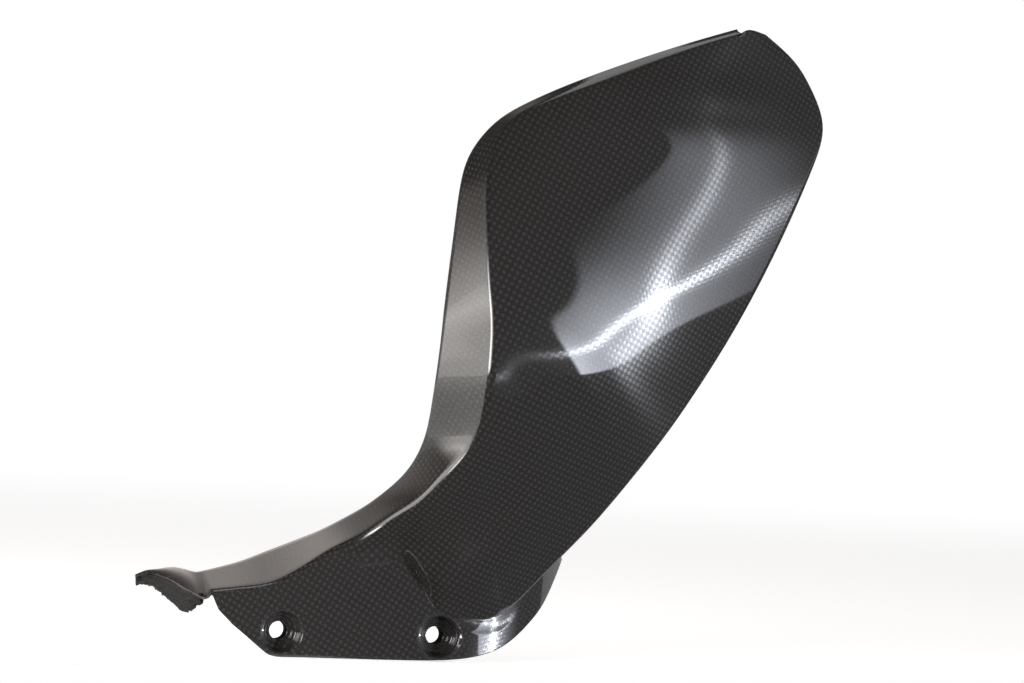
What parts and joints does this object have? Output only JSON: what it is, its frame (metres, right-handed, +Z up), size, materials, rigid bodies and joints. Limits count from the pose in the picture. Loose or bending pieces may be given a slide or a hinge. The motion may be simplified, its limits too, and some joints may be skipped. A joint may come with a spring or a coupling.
{
  "type": "rear hugger mudguard",
  "caption": "Moulded carbon-fibre mudguard shell that sweeps up from a bolt plate with dished holes, with a folded edge wall.",
  "frame": {"origin": "midway between the two bolt holes, on the boss ends that seat on the carrier", "axes": "+Z up towards the tail, +X from the torn lip to the tail's reach, -Y the outer face that the picture shows, +Y towards the carrier and tyre"},
  "size_m": [0.3208, 0.1084, 0.325],
  "materials": {
    "carbon_laminate": "gloss"
  },
  "bodies": {
    "root": {"mudguard_shell": "carbon_laminate"}
  },
  "joints": []
}
